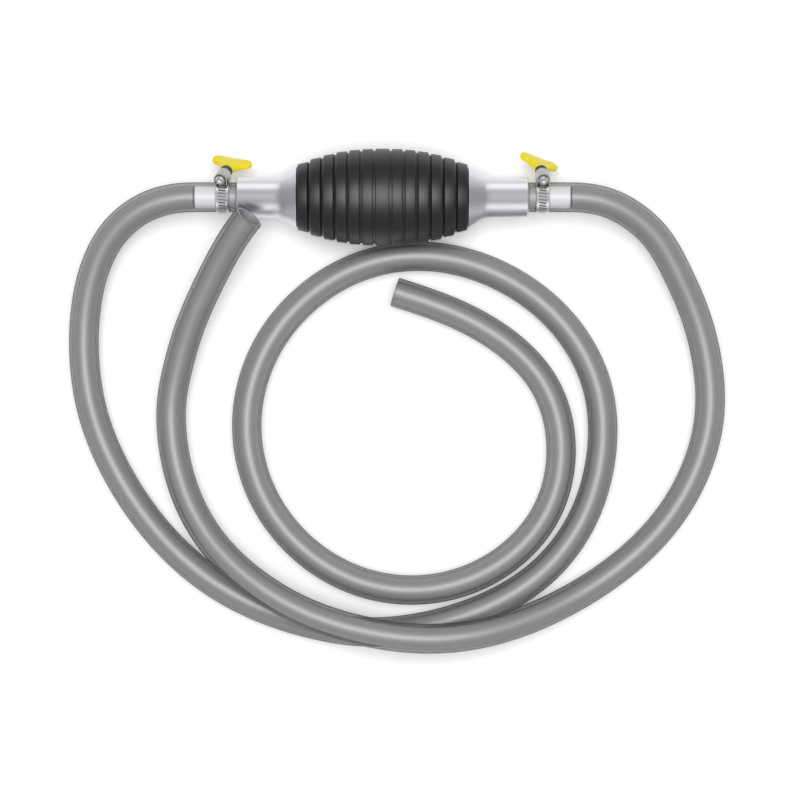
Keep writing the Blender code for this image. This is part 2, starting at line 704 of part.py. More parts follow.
def build():
    clear_scene()
    materials = {
        "rubber": new_material("black_rubber", (0.012, 0.012, 0.014), 0.45),
        "aluminium": new_material("satin_aluminium", (0.72, 0.72, 0.75), 0.30, 1.0),
        "white_plastic": new_material("white_plastic", (0.82, 0.84, 0.87), 0.35),
        "grey_plastic": new_material("grey_plastic", (0.35, 0.36, 0.38), 0.45),
        "steel": new_material("plated_steel", (0.70, 0.70, 0.72), 0.25, 1.0),
        "dark_steel": new_material("dark_steel", (0.30, 0.30, 0.31), 0.35, 1.0),
        "yellow": new_material("yellow_plastic", (0.90, 0.78, 0.02), 0.35),
        "pvc": new_material("clear_pvc", (0.45, 0.45, 0.46), 0.15),
    }
    axis = new_empty("pump_axis", (0.0, 0.0, AXIS_HEIGHT))
    press_slide = new_empty("bulb_press_slide", (0.0, 0.0, AXIS_HEIGHT + BULB_RADIUS))
    build_bulb(materials["rubber"], axis, press_slide)
    for end, side, screw_lean, key_turn in (
        ("inlet", -1, INLET_SCREW_LEAN, INLET_KEY_TURN),
        ("outlet", 1, OUTLET_SCREW_LEAN, OUTLET_KEY_TURN),
    ):
        build_fitting(end, side, materials, axis)
        build_spigot(end, side, materials, axis)
        build_valve_body(end, side, materials, axis)
        build_valve(end, side, materials, axis)
        build_cuff(end, side, materials["pvc"], axis)
        build_clamp(end, side, materials, axis, screw_lean, key_turn)
    start = (-HOSE_START, 0.0, AXIS_HEIGHT)
    build_hose("suction_hose", placed_route(SUCTION_ROUTE, start), -1, materials["pvc"])
    start = (HOSE_START, 0.0, AXIS_HEIGHT)
    lean = FITTING_RADIUS + GAP + HOSE_RADIUS
    end = (LEAN_FROM_END - FITTING_END, -lean * sin(LEAN_ANGLE), AXIS_HEIGHT + lean * cos(LEAN_ANGLE))
    build_hose("discharge_hose", placed_route(DISCHARGE_ROUTE, start, end), 1, materials["pvc"])


build()
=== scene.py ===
"""Looks of a hand siphon pump: a ribbed rubber bulb between two turned metal ends, each with a one-way valve
inside and a clear hose held by a worm-drive clamp with a wing key.

Metres, in the CAD model's frame: the pump lies along X on the floor z = 0, and water runs towards +X.
"""

import json
from math import pi, radians, tau

import bmesh
import bpy
import numpy as np
from mathutils import Matrix, Vector


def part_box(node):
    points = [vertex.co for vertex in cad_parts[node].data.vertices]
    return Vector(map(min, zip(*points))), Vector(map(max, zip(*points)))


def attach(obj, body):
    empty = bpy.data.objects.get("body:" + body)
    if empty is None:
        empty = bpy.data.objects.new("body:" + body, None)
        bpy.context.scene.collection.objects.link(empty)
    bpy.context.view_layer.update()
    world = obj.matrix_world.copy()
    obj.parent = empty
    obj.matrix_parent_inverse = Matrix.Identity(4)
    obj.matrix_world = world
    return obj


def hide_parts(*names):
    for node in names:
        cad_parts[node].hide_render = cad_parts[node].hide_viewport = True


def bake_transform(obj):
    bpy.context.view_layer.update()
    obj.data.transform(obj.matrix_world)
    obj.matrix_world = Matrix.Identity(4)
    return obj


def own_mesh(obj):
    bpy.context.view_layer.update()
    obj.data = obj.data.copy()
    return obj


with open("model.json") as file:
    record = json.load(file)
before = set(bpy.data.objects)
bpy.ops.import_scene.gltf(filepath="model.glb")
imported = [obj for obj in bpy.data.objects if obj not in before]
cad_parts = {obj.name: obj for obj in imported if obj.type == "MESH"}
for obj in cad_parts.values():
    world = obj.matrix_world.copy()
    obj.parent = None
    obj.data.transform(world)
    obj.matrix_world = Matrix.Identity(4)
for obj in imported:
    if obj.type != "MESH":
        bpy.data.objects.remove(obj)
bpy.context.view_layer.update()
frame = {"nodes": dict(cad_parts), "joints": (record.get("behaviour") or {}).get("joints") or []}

MM = 0.001
ENDS = (("inlet", -1), ("outlet", 1))

# Height of the pump's axis, from the CAD model
AXIS_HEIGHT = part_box("bulb_press_wall")[1].z / 2

# Camera, straight above the laid-out hoses
CAMERA_OVER = (0.0070, -0.0814, 0.930)
CAMERA_LENS = 102.06

# Bulb
BULB_LENGTH = 68.0 * MM
BULB_RADIUS = AXIS_HEIGHT
BULB_END_RADIUS = 12.8 * MM
BULB_BELLY = 2.3
BULB_END_WALL = 2.2 * MM
RIBS_EACH_SIDE = 6
CENTRE_RIB_WIDTH = 5.6 * MM
GROOVE_WIDTH = 1.0 * MM
GROOVE_DEPTH = 0.75 * MM
RIB_SHOULDER = 0.35 * MM
RIB_SLANT = 0.6
NECK_RADIUS = (10.5 * MM, 8.0 * MM)
NECK_END = 39.2 * MM
NECK_WALL = 1.7 * MM

# Metal ends
CONE_LENGTH = 8.0 * MM
CONE_FILLET = 2.4 * MM
END_WALL = 2.1 * MM
FITTING_RADIUS = 8.25 * MM
FITTING_WALL = 1.4 * MM
SPIGOT_HOLE = 4.7 * MM

# Hoses
HOSE_RADIUS = 6.0 * MM
HOSE_BORE = 4.6 * MM
HOSE_PINCH = 0.22 * MM
HOSE_LIP = 0.25 * MM
HOSE_RING_STEP = 2.2 * MM
HOSE_SIDES = 40
CLAMP_STARTS = (7.4 * MM, 8.6 * MM)
SPIGOT_STOPS = (16.6 * MM, 17.6 * MM)
# How opaque the grey bore is between the metal end and the clamp: painted shade, to darken the band's slots
PAINTED_SHADE_AT_CLAMP = 0.45

# Spigots and valves
SPIGOT_RADIUS = 4.4 * MM
SPIGOT_BORE = 3.1 * MM
SPIGOT_FLANGE = 1.4 * MM
SEAT_HOLE = 2.2 * MM
SEAT_MOUTH = 2.7 * MM
VALVE_BORE = 4.4 * MM
VALVE_CLEARANCE = 0.3 * MM
VALVE_STEP = 0.6 * MM
NECK_CLEARANCE = 0.4 * MM
SPRING_WIRE = 0.5 * MM
SPRING_TURNS = 3.5

# Clamps
BAND_RADIUS = 6.5 * MM
BAND_THICKNESS = 0.6 * MM
BAND_WIDTH = 5.0 * MM
BAND_SLOTS = 32
BAND_SLOT_LENGTH = 3.0 * MM
BAND_SLOT_SLANT = radians(7.0)
BAND_SLOT_MARGIN = 0.35 * MM
BAND_SLOT_CORNER = 0.80
BAND_STEPS_PER_SLOT = 8
HOUSING_LENGTH = 5.8 * MM
HOUSING_RADIUS = 2.5 * MM
HOUSING_WALL = 0.5 * MM
HOUSING_SKIRT = 2.05 * MM
SCREW_TIP = 3.8 * MM
SCREW_THREAD = (-3.2 * MM, 3.2 * MM)
SCREW_RADIUS = 1.95 * MM
THREAD_PITCH = 1.2 * MM
THREAD_DEPTH = 0.35 * MM
HEAD_RADIUS = 2.5 * MM
HEAD_END = -6.2 * MM
HEAD_GROOVE = -4.6 * MM
HEAD_GROOVE_DEPTH = 0.25 * MM
HEAD_HOLE_RADIUS = 1.0 * MM
DIMPLE_DEPTH = 0.9 * MM
DIMPLE_RADIUS = (0.75 * MM, 0.80 * MM)
TIP_RADIUS = 1.5 * MM
KEY_FROM_SCREW = 6.5 * MM
KEY_SPAN = 16.4 * MM
KEY_HEIGHT = 10.5 * MM
KEY_THICKNESS = 3.4 * MM
KEY_LOBE_RADIUS = 2.7 * MM
KEY_STEM = 2.0 * MM
KEY_WING = 6.4 * MM
KEY_DIP = 0.6 * MM
KEY_DIP_WIDTH = 3.0 * MM
KEY_DISH = 0.52
KEY_DISH_PLACE = 4.9 * MM
KEY_DISH_WIDTH = 2.2 * MM
KEY_TURN = {"inlet": radians(-4.6), "outlet": radians(-23.0)}

# The hoses' centre lines, from the spigot's end to the cut end
SUCTION_ROUTE = (
    (-0.0759, 0.0000, 0.0194),
    (-0.0900, -0.0019, 0.0188),
    (-0.1010, -0.0072, 0.0171),
    (-0.1093, -0.0150, 0.0148),
    (-0.1163, -0.0275, 0.0118),
    (-0.1206, -0.0445, 0.0088),
    (-0.1215, -0.0640, 0.0069),
    (-0.1183, -0.0860, 0.0062),
    (-0.1100, -0.1075, 0.0062),
    (-0.0970, -0.1285, 0.0062),
    (-0.0800, -0.1470, 0.0062),
    (-0.0580, -0.1620, 0.0062),
    (-0.0330, -0.1715, 0.0062),
    (-0.0070, -0.1758, 0.0062),
    (0.0200, -0.1730, 0.0062),
    (0.0450, -0.1645, 0.0062),
    (0.0660, -0.1505, 0.0062),
    (0.0810, -0.1305, 0.0062),
    (0.0888, -0.1050, 0.0062),
    (0.0873, -0.0760, 0.0062),
    (0.0740, -0.0510, 0.0062),
    (0.0520, -0.0330, 0.0062),
    (0.0260, -0.0238, 0.0062),
    (-0.0020, -0.0248, 0.0062),
    (-0.0280, -0.0375, 0.0062),
    (-0.0470, -0.0595, 0.0062),
    (-0.0553, -0.0880, 0.0062),
    (-0.0508, -0.1160, 0.0062),
    (-0.0340, -0.1405, 0.0062),
    (-0.0080, -0.1558, 0.0062),
    (0.0220, -0.1580, 0.0062),
    (0.0490, -0.1470, 0.0062),
    (0.0670, -0.1265, 0.0062),
    (0.0726, -0.1000, 0.0062),
    (0.0660, -0.0755, 0.0062),
    (0.0500, -0.0580, 0.0062),
    (0.0280, -0.0455, 0.0062),
    (0.0048, -0.0373, 0.0062),
)
DISCHARGE_ROUTE = (
    (0.0759, 0.0000, 0.0194),
    (0.0900, -0.0020, 0.0188),
    (0.1010, -0.0074, 0.0171),
    (0.1108, -0.0162, 0.0147),
    (0.1190, -0.0295, 0.0118),
    (0.1268, -0.0465, 0.0088),
    (0.1320, -0.0660, 0.0069),
    (0.1330, -0.0880, 0.0062),
    (0.1265, -0.1120, 0.0062),
    (0.1135, -0.1330, 0.0062),
    (0.0950, -0.1505, 0.0062),
    (0.0720, -0.1645, 0.0092),
    (0.0460, -0.1740, 0.0153),
    (0.0200, -0.1773, 0.0189),
    (-0.0060, -0.1745, 0.0194),
    (-0.0310, -0.1668, 0.0184),
    (-0.0530, -0.1540, 0.0156),
    (-0.0700, -0.1375, 0.0116),
    (-0.0805, -0.1185, 0.0086),
    (-0.0855, -0.0980, 0.0074),
    (-0.0858, -0.0820, 0.0080),
    (-0.0830, -0.0680, 0.0102),
    (-0.0783, -0.0530, 0.0138),
    (-0.0720, -0.0390, 0.0182),
    (-0.0650, -0.0260, 0.0230),
    (-0.0590, -0.0165, 0.0272),
    (-0.0529, -0.0088, 0.0310),
)


# Meshes ------------------------------------------------------------------------------------------------


def surface(name, points, material, wrap=(False, False), along=None):
    """A closed piece over a grid of points of shape (rows, columns, 3): one face for each cell. wrap joins
    the last row, or column, to the first. Rows that shrink to a point become poles. along is a distance for
    each row, kept in the UV map beside the share of the way round."""
    rows, columns = points.shape[:2]
    row, column = np.meshgrid(
        np.arange(rows if wrap[0] else rows - 1),
        np.arange(columns if wrap[1] else columns - 1),
        indexing="ij",
    )
    row, column = row.ravel(), column.ravel()
    row_steps = np.array((0, 1, 1, 0))
    column_steps = np.array((0, 0, 1, 1))
    corner_rows = (row[:, None] + row_steps) % rows
    corner_columns = (column[:, None] + column_steps) % columns
    mesh = bpy.data.meshes.new(name)
    mesh.from_pydata(points.reshape(-1, 3).tolist(), [], (corner_rows * columns + corner_columns).tolist())
    if along is not None:
        share = (column[:, None] + column_steps) / columns
        uv = np.stack([share, np.asarray(along)[corner_rows]], axis=-1)
        mesh.uv_layers.new(name="hose_run").data.foreach_set("uv", uv.ravel())
    return closed_piece(name, mesh, material)


def closed_piece(name, mesh, material, sharp=radians(42.0)):
    """Merges doubled points, turns the faces outwards and makes the object."""
    bm = bmesh.new()
    bm.from_mesh(mesh)
    bmesh.ops.remove_doubles(bm, verts=bm.verts, dist=0.002 * MM)
    bmesh.ops.recalc_face_normals(bm, faces=bm.faces)
    bm.to_mesh(mesh)
    bm.free()
    mesh.shade_smooth()
    mesh.set_sharp_from_angle(angle=sharp)
    mesh.materials.append(material)
    piece = bpy.data.objects.new(name, mesh)
    bpy.context.scene.collection.objects.link(piece)
    return piece


def rounded(outline, reach, closed=True, steps=5):
    """The outline with its corners rounded: each corner P becomes the parabola from P + t(A - P) to
    P + t(B - P) with P as its control point, where A and B are its neighbours and t makes each leg reach
    long, or 45% of the shorter side if that is less. reach is one length or one for each point."""
    points = np.array(outline, float)
    before, after = np.roll(points, 1, axis=0), np.roll(points, -1, axis=0)
    back, on = before - points, after - points
    back_length = np.linalg.norm(back, axis=1, keepdims=True)
    on_length = np.linalg.norm(on, axis=1, keepdims=True)
    leg = np.minimum(np.broadcast_to(reach, len(points))[:, None], 0.45 * np.minimum(back_length, on_length))
    start, end = points + back / back_length * leg, points + on / on_length * leg
    t = np.linspace(0.0, 1.0, steps)[None, :, None]
    arcs = (1 - t) ** 2 * start[:, None] + 2 * t * (1 - t) * points[:, None] + t**2 * end[:, None]
    if closed:
        return arcs.reshape(-1, points.shape[1])
    inner = arcs[1:-1].reshape(-1, points.shape[1])
    return np.concatenate([points[:1], inner, points[-1:]])


def turned(name, outline, material, sides=96, closed=True):
    """A turned piece round the pump's axis: outline point (x, r) goes to
    (x, r sin a, AXIS_HEIGHT + r cos a)."""
    x, radius = np.array(outline).T
    angle = np.arange(sides) * tau / sides
    points = np.stack(
        [
            np.repeat(x[:, None], sides, axis=1),
            radius[:, None] * np.sin(angle),
            AXIS_HEIGHT + radius[:, None] * np.cos(angle),
        ],
        axis=-1,
    )
    return surface(name, points, material, wrap=(closed, True))


def swept(name, path, tangents, normals, section, material):
    """A closed section carried along a path: point (u, v) is path_u + a_v (t_u x n_u) + b_v n_u, where (a, b)
    is the section. Each end closes to the path's own end point."""
    sides = np.cross(tangents, normals)
    ring = section[None, :, :1] * sides[:, None] + section[None, :, 1:] * normals[:, None]
    points = path[:, None] + ring
    first = np.repeat(path[None, :1], len(section), axis=1)
    last = np.repeat(path[None, -1:], len(section), axis=1)
    return surface(name, np.concatenate([first, points, last]), material, wrap=(False, True))


def circle(radius, sides):
    """Points (r cos a, r sin a) at even angles a."""
    angle = np.arange(sides) * tau / sides
    return np.stack([radius * np.cos(angle), radius * np.sin(angle)], axis=1)


def moved(points, matrix):
    """The points carried by a 4x4 matrix."""
    m = np.array(matrix)
    return points @ m[:3, :3].T + m[:3, 3]


# Materials ---------------------------------------------------------------------------------------------


def new_group(name, inputs, outputs):
    """An empty node group with float and colour sockets. Returns (group, input node, output node)."""
    group = bpy.data.node_groups.new(name, "ShaderNodeTree")
    for in_out, sockets in (("INPUT", inputs), ("OUTPUT", outputs)):
        for socket, kind in sockets.items():
            group.interface.new_socket(socket, in_out=in_out, socket_type=kind)
    return group, group.nodes.new("NodeGroupInput"), group.nodes.new("NodeGroupOutput")


def object_noise(group, scale, detail=3.0):
    """Noise on Object coordinates at the scale of an input socket."""
    place = group.nodes.new("ShaderNodeTexCoord")
    noise = group.nodes.new("ShaderNodeTexNoise")
    noise.inputs["Detail"].default_value = detail
    group.links.new(place.outputs["Object"], noise.inputs["Vector"])
    group.links.new(scale, noise.inputs["Scale"])
    return noise.outputs["Fac"]


def mapped(group, value, low, high):
    """value from 0.25..0.75, where most of the noise lies, onto low..high, which are sockets."""
    ramp = group.nodes.new("ShaderNodeMapRange")
    ramp.inputs["From Min"].default_value = 0.25
    ramp.inputs["From Max"].default_value = 0.75
    group.links.new(value, ramp.inputs["Value"])
    group.links.new(low, ramp.inputs["To Min"])
    group.links.new(high, ramp.inputs["To Max"])
    return ramp.outputs["Result"]


def make_grain_group():
    """Fine moulded or blasted grain: a roughness between two values, and a height."""
    floats = dict.fromkeys(("Scale", "Roughness Low", "Roughness High"), "NodeSocketFloat")
    group, given, made = new_group(
        "surface_grain", floats, dict.fromkeys(("Roughness", "Height"), "NodeSocketFloat")
    )
    noise = object_noise(group, given.outputs["Scale"])
    rough = mapped(group, noise, given.outputs["Roughness Low"], given.outputs["Roughness High"])
    group.links.new(rough, made.inputs["Roughness"])
    group.links.new(noise, made.inputs["Height"])
    return group


def make_drift_group():
    """A slow drift between two colours over a piece."""
    inputs = {"Scale": "NodeSocketFloat", "Colour A": "NodeSocketColor", "Colour B": "NodeSocketColor"}
    group, given, made = new_group("colour_drift", inputs, {"Colour": "NodeSocketColor"})
    noise = object_noise(group, given.outputs["Scale"], detail=4.0)
    mix = group.nodes.new("ShaderNodeMix")
    mix.data_type = "RGBA"
    group.links.new(noise, mix.inputs["Factor"])
    group.links.new(given.outputs["Colour A"], mix.inputs["A"])
    group.links.new(given.outputs["Colour B"], mix.inputs["B"])
    group.links.new(mix.outputs["Result"], made.inputs["Colour"])
    return group


def make_lathe_group():
    """Fine lines round the X axis, as a lathe tool leaves them: noise of x alone."""
    group, given, made = new_group(
        "lathe_lines", {"Scale": "NodeSocketFloat"}, {"Height": "NodeSocketFloat"}
    )
    place = group.nodes.new("ShaderNodeTexCoord")
    split = group.nodes.new("ShaderNodeSeparateXYZ")
    lines = group.nodes.new("ShaderNodeTexNoise")
    lines.noise_dimensions = "1D"
    lines.inputs["Detail"].default_value = 4.0
    group.links.new(place.outputs["Object"], split.inputs["Vector"])
    group.links.new(split.outputs["X"], lines.inputs["W"])
    group.links.new(given.outputs["Scale"], lines.inputs["Scale"])
    group.links.new(lines.outputs["Fac"], made.inputs["Height"])
    return group


GRAIN = make_grain_group()
DRIFT = make_drift_group()
LATHE = make_lathe_group()


def place_group(tree, group, **values):
    """A group node with its values set. Underscores in a name stand for spaces."""
    node = tree.nodes.new("ShaderNodeGroup")
    node.node_tree = group
    for name, value in values.items():
        node.inputs[name.replace("_", " ")].default_value = value
    return node


def finish_material(
    name, colours, drift_scale, roughness, grain_scale, bump, lathe_scale=None, **shader_values
):
    """A material with colour that drifts between two colours, roughness between two values and a fine bump of
    grain or lathe lines. Other values go straight onto the shader's sockets."""
    material = bpy.data.materials.new(name)
    material.use_nodes = True
    tree = material.node_tree
    shader = tree.nodes["Principled BSDF"]
    for socket, value in shader_values.items():
        shader.inputs[socket.replace("_", " ")].default_value = value
    material.diffuse_color = (*colours[0], 1.0)
    drift = place_group(
        tree, DRIFT, Scale=drift_scale, Colour_A=(*colours[0], 1.0), Colour_B=(*colours[1], 1.0)
    )
    tree.links.new(drift.outputs["Colour"], shader.inputs["Base Color"])
    grain = place_group(
        tree, GRAIN, Scale=grain_scale, Roughness_Low=roughness[0], Roughness_High=roughness[1]
    )
    tree.links.new(grain.outputs["Roughness"], shader.inputs["Roughness"])
    height = grain.outputs["Height"]
    if lathe_scale is not None:
        height = place_group(tree, LATHE, Scale=lathe_scale).outputs["Height"]
    relief = tree.nodes.new("ShaderNodeBump")
    relief.inputs["Strength"].default_value = bump[0]
    relief.inputs["Distance"].default_value = bump[1]
    tree.links.new(height, relief.inputs["Height"])
    tree.links.new(relief.outputs["Normal"], shader.inputs["Normal"])
    return material


def ranged(tree, value, low, high, out_low, out_high):
    """A Map Range node, smoothly from out_low at low to out_high at high."""
    node = tree.nodes.new("ShaderNodeMapRange")
    node.interpolation_type = "SMOOTHSTEP"
    for socket, number in (("From Min", low), ("From Max", high), ("To Min", out_low), ("To Max", out_high)):
        node.inputs[socket].default_value = number
    tree.links.new(value, node.inputs["Value"])
    return node.outputs["Result"]


def larger(tree, a, b):
    """The larger of two values."""
    node = tree.nodes.new("ShaderNodeMath")
    node.operation = "MAXIMUM"
    tree.links.new(a, node.inputs[0])
    tree.links.new(b, node.inputs[1])
    return node.outputs["Value"]


def clear_wall_material():
    """The hose's clear smoked wall. A slanting look goes a longer way through it, so it covers more there."""
    material = finish_material(
        "clear_smoked_pvc",
        ((0.020, 0.020, 0.022), (0.032, 0.032, 0.034)),
        drift_scale=60.0,
        roughness=(0.47, 0.52),
        grain_scale=900.0,
        bump=(0.04, 0.02 * MM),
        Specular_IOR_Level=0.9,
        IOR=1.65,
        Coat_Weight=0.4,
        Coat_Roughness=0.14,
    )
    tree = material.node_tree
    shader = tree.nodes["Principled BSDF"]
    slant = tree.nodes.new("ShaderNodeLayerWeight")
    slant.inputs["Blend"].default_value = 0.5
    through = ranged(tree, slant.outputs["Facing"], 0.22, 0.42, 0.12, 0.46)
    outline = ranged(tree, slant.outputs["Facing"], 0.50, 0.74, 0.0, 1.0)
    tree.links.new(larger(tree, through, outline), shader.inputs["Alpha"])
    duller = larger(tree, shader.inputs["Roughness"].links[0].from_socket, outline)
    tree.links.new(duller, shader.inputs["Roughness"])
    return material


def cloudy_bore_material():
    """The hose's bore, clouded grey. It is clear where it is stretched over the spigot, and about half clear
    between the metal end and the clamp, where that grey is painted shade that darkens the band's slots."""
    material = finish_material(
        "cloudy_pvc_bore",
        ((0.285, 0.285, 0.289), (0.325, 0.325, 0.328)),
        drift_scale=60.0,
        roughness=(0.46, 0.51),
        grain_scale=900.0,
        bump=(0.04, 0.02 * MM),
        Specular_IOR_Level=1.0,
        IOR=1.72,
    )
    tree = material.node_tree
    shader = tree.nodes["Principled BSDF"]
    run = tree.nodes.new("ShaderNodeUVMap")
    run.uv_map = "hose_run"
    split = tree.nodes.new("ShaderNodeSeparateXYZ")
    tree.links.new(run.outputs["UV"], split.inputs["Vector"])
    past_spigot = ranged(tree, split.outputs["Y"], *SPIGOT_STOPS, 0.0, 1.0)
    # Painted shade: the bore is half grey up to the clamp, so the white spigot shows darker under the band's
    # slots
    clamp_painted_shade = ranged(tree, split.outputs["Y"], *CLAMP_STARTS, PAINTED_SHADE_AT_CLAMP, 0.0)
    tree.links.new(larger(tree, past_spigot, clamp_painted_shade), shader.inputs["Alpha"])
    return material


MATERIALS = {
    "rubber": finish_material(
        "satin_black_rubber",
        ((0.0035, 0.0035, 0.0042), (0.0065, 0.0065, 0.0075)),
        drift_scale=70.0,
        roughness=(0.44, 0.50),
        grain_scale=1400.0,
        bump=(0.10, 0.03 * MM),
        Specular_IOR_Level=0.7,
    ),
    "aluminium": finish_material(
        "satin_turned_aluminium",
        ((0.70, 0.70, 0.74), (0.76, 0.76, 0.80)),
        drift_scale=40.0,
        roughness=(0.35, 0.41),
        grain_scale=500.0,
        bump=(0.02, 0.01 * MM),
        lathe_scale=1500.0,
        Metallic=1.0,
    ),
    "white_plastic": finish_material(
        "smooth_white_plastic",
        ((0.93, 0.94, 0.96), (0.95, 0.96, 0.98)),
        drift_scale=90.0,
        roughness=(0.26, 0.34),
        grain_scale=900.0,
        bump=(0.05, 0.02 * MM),
    ),
    "nitrile": finish_material(
        "matt_black_nitrile",
        ((0.014, 0.014, 0.014), (0.022, 0.022, 0.022)),
        drift_scale=120.0,
        roughness=(0.50, 0.62),
        grain_scale=1600.0,
        bump=(0.10, 0.02 * MM),
    ),
    "grey_plastic": finish_material(
        "moulded_grey_plastic",
        ((0.30, 0.31, 0.33), (0.36, 0.37, 0.39)),
        drift_scale=120.0,
        roughness=(0.38, 0.50),
        grain_scale=1500.0,
        bump=(0.10, 0.02 * MM),
    ),
    "polished_steel": finish_material(
        "polished_stainless_steel",
        ((0.60, 0.60, 0.62), (0.68, 0.68, 0.70)),
        drift_scale=150.0,
        roughness=(0.10, 0.16),
        grain_scale=1200.0,
        bump=(0.03, 0.01 * MM),
        Metallic=1.0,
    ),
    "strap_steel": finish_material(
        "bright_stamped_steel",
        ((0.66, 0.66, 0.67), (0.80, 0.80, 0.80)),
        drift_scale=300.0,
        roughness=(0.32, 0.42),
        grain_scale=900.0,
        bump=(0.05, 0.01 * MM),
        lathe_scale=5200.0,
        Metallic=1.0,
    ),
    "cover_steel": finish_material(
        "pressed_cover_steel",
        ((0.34, 0.34, 0.35), (0.46, 0.46, 0.46)),
        drift_scale=300.0,
        roughness=(0.26, 0.36),
        grain_scale=900.0,
        bump=(0.06, 0.01 * MM),
        Metallic=1.0,
    ),
    "screw_steel": finish_material(
        "threaded_steel",
        ((0.75, 0.75, 0.74), (0.88, 0.88, 0.87)),
        drift_scale=500.0,
        roughness=(0.30, 0.42),
        grain_scale=1300.0,
        bump=(0.08, 0.02 * MM),
        Metallic=1.0,
    ),
    # Near-black steel for the screw's head: painted shade, for the shadow the head lies in between the cover
    # and the key
    "painted_shade_steel": finish_material(
        "head_steel_painted_shade",
        ((0.045, 0.042, 0.036), (0.085, 0.078, 0.066)),
        drift_scale=500.0,
        roughness=(0.26, 0.40),
        grain_scale=1300.0,
        bump=(0.10, 0.02 * MM),
        Metallic=1.0,
    ),
    "yellow_plastic": finish_material(
        "moulded_yellow_plastic",
        ((0.86, 0.66, 0.004), (0.93, 0.80, 0.008)),
        drift_scale=200.0,
        roughness=(0.28, 0.38),
        grain_scale=1100.0,
        bump=(0.06, 0.02 * MM),
        Specular_IOR_Level=0.3,
    ),
    "clear_wall": clear_wall_material(),
    "cloudy_bore": cloudy_bore_material(),
}


# Bulb --------------------------------------------------------------------------------------------------


def bulb_envelope(x):
    """Radius over the ribs: R - (R - r) |x / half the length| ** belly, with R in the middle and r at the
    ends."""
    share = np.minimum(1.0, np.abs(x) / (BULB_LENGTH / 2))
    return BULB_RADIUS - (BULB_RADIUS - BULB_END_RADIUS) * share**BULB_BELLY


def rib_rows():
    """The bulb's outside, end to end, as (x, radius): 13 ribs that slant a little with the envelope, each
    with quarter-round shoulders that go down to the groove's floor. Every rib is one template, widened and
    lifted to its own place."""
    side_ribs = 2 * RIBS_EACH_SIDE
    width = np.full(side_ribs + 1, (BULB_LENGTH - CENTRE_RIB_WIDTH - side_ribs * GROOVE_WIDTH) / side_ribs)
    width[RIBS_EACH_SIDE] = CENTRE_RIB_WIDTH
    start = -BULB_LENGTH / 2 + np.concatenate(([0.0], np.cumsum(width + GROOVE_WIDTH)[:-1]))
    centre = start + width / 2
    angle = np.linspace(0.0, pi / 2, 5)
    shoulder_x = -RIB_SHOULDER * np.sin(angle)[::-1]
    shoulder_down = -RIB_SHOULDER * (1 - np.cos(angle))[::-1]
    in_from_side = np.concatenate(([0.0], RIB_SHOULDER + shoulder_x))
    down = np.concatenate(([-GROOVE_DEPTH], shoulder_down))
    left = -width[:, None] / 2 + in_from_side
    x = centre[:, None] + np.concatenate([left, -left[:, ::-1]], axis=1)
    crest = bulb_envelope(centre)[:, None]
    radius = crest + RIB_SLANT * (bulb_envelope(x) - crest) + np.concatenate([down, down[::-1]])
    return np.stack([x.ravel(), radius.ravel()], axis=1)


def build_bulb():
    """One skin from neck to neck. The hollow necks that sit in the metal ends are walled off inside the
    bulb."""
    end_wall = BULB_LENGTH / 2 - BULB_END_WALL
    neck = np.array(
        [
            (BULB_LENGTH / 2, NECK_RADIUS[0]),
            (NECK_END, NECK_RADIUS[1]),
            (NECK_END, NECK_RADIUS[1] - NECK_WALL),
            (end_wall, NECK_RADIUS[0] - NECK_WALL),
            (end_wall, 0.0),
        ]
    )
    neck = np.concatenate([neck[:1], rounded(neck, 0.4 * MM, closed=False)[1:]])
    left_neck = neck[::-1] * (-1, 1)
    outside = rib_rows()
    outside[0, 1] = outside[-1, 1] = NECK_RADIUS[0]
    outline = np.concatenate([left_neck, outside, neck])
    bulb = turned("ribbed_bulb", outline, MATERIALS["rubber"], sides=144, closed=False)
    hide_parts("squeeze_bulb", "bulb_press_wall")
    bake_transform(bulb)


# Metal ends, spigots and valves --------------------------------------------------------------------------


def stands_for(piece, node, body):
    """This piece shows in place of a CAD node, on its body."""
    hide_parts(node)
    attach(piece, body)
    return piece


def mirrored(outline, side):
    """The outline for this side: x turns over at the inlet."""
    return np.array(outline) * (side, 1)


def build_metal_end(end, side):
    """A cone that runs into a cylinder with a soft hollow corner, bored out, with a thick end wall."""
    low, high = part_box(f"{end}_fitting")
    start, stop = sorted((abs(low.x), abs(high.x)))
    cone_radius = high.z - AXIS_HEIGHT
    waist = start + CONE_LENGTH
    bore = FITTING_RADIUS - FITTING_WALL
    outline = [
        (start, cone_radius),
        (waist, FITTING_RADIUS),
        (stop, FITTING_RADIUS),
        (stop, SPIGOT_HOLE),
        (stop - END_WALL, SPIGOT_HOLE),
        (stop - END_WALL, bore),
        (waist, bore),
        (start, cone_radius - FITTING_WALL),
    ]
    reach = np.array((0.35, CONE_FILLET / MM, 0.7, 0.3, 0.3, 0.3, 0.5, 0.3)) * MM
    outline = mirrored(rounded(outline, reach, steps=9), side)
    piece = turned(f"{end}_metal_end", outline, MATERIALS["aluminium"], sides=128)
    return stands_for(piece, f"{end}_fitting", "pump")


